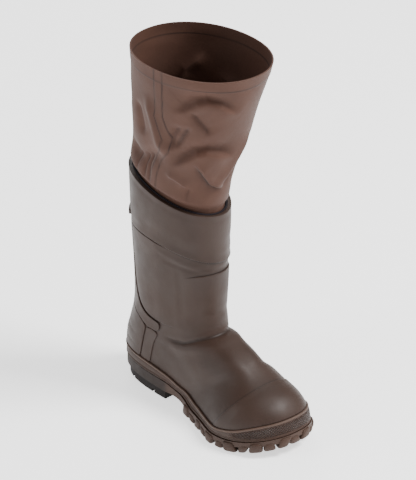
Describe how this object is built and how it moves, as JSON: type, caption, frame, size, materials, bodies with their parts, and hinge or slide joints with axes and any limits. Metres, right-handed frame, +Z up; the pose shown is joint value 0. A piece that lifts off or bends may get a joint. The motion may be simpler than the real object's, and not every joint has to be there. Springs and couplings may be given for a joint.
{
  "type": "bootfoot wader boot",
  "caption": "Left rubber bootfoot of a wader: hollow boot with raised overlays, lugged sole and the lower part of its fabric leg bonded inside the collar.",
  "frame": {"origin": "on the ground under the middle of the heel, on the heel lift's tread face", "axes": "+Z up along the leg, -Y forward towards the toe, +X to the outer (little toe) side"},
  "size_m": [0.1458, 0.3012, 0.478],
  "materials": {
    "boot_rubber": "matte moulded brown rubber with a soft broad sheen",
    "sole_rubber": "matte moulded brown rubber, slightly rougher",
    "heel_rubber": "matte dark brown rubber",
    "foxing_rubber": "matte brown rubber, fine diamond texture at the toe",
    "lining": "dark soft foam lining with a knitted face",
    "binding_cloth": "dark purple-black lining edge, soft",
    "leg_cloth": "brown coated nylon, fine weave, faint sheen"
  },
  "bodies": {
    "root": {"upper": "boot_rubber", "insole": "lining", "outsole": "sole_rubber", "heel_lift": "heel_rubber", "foxing_band": "foxing_rubber", "toe_cap": "boot_rubber", "heel_counter": "boot_rubber", "counter_strip_medial": "boot_rubber", "counter_strip_lateral": "boot_rubber", "cuff_band": "boot_rubber", "shin_overlay": "boot_rubber", "side_panel_medial": "boot_rubber", "side_panel_lateral": "boot_rubber", "back_stay": "boot_rubber", "back_tab": "boot_rubber", "collar_binding": "binding_cloth", "wader_leg": "leg_cloth"}
  },
  "joints": []
}
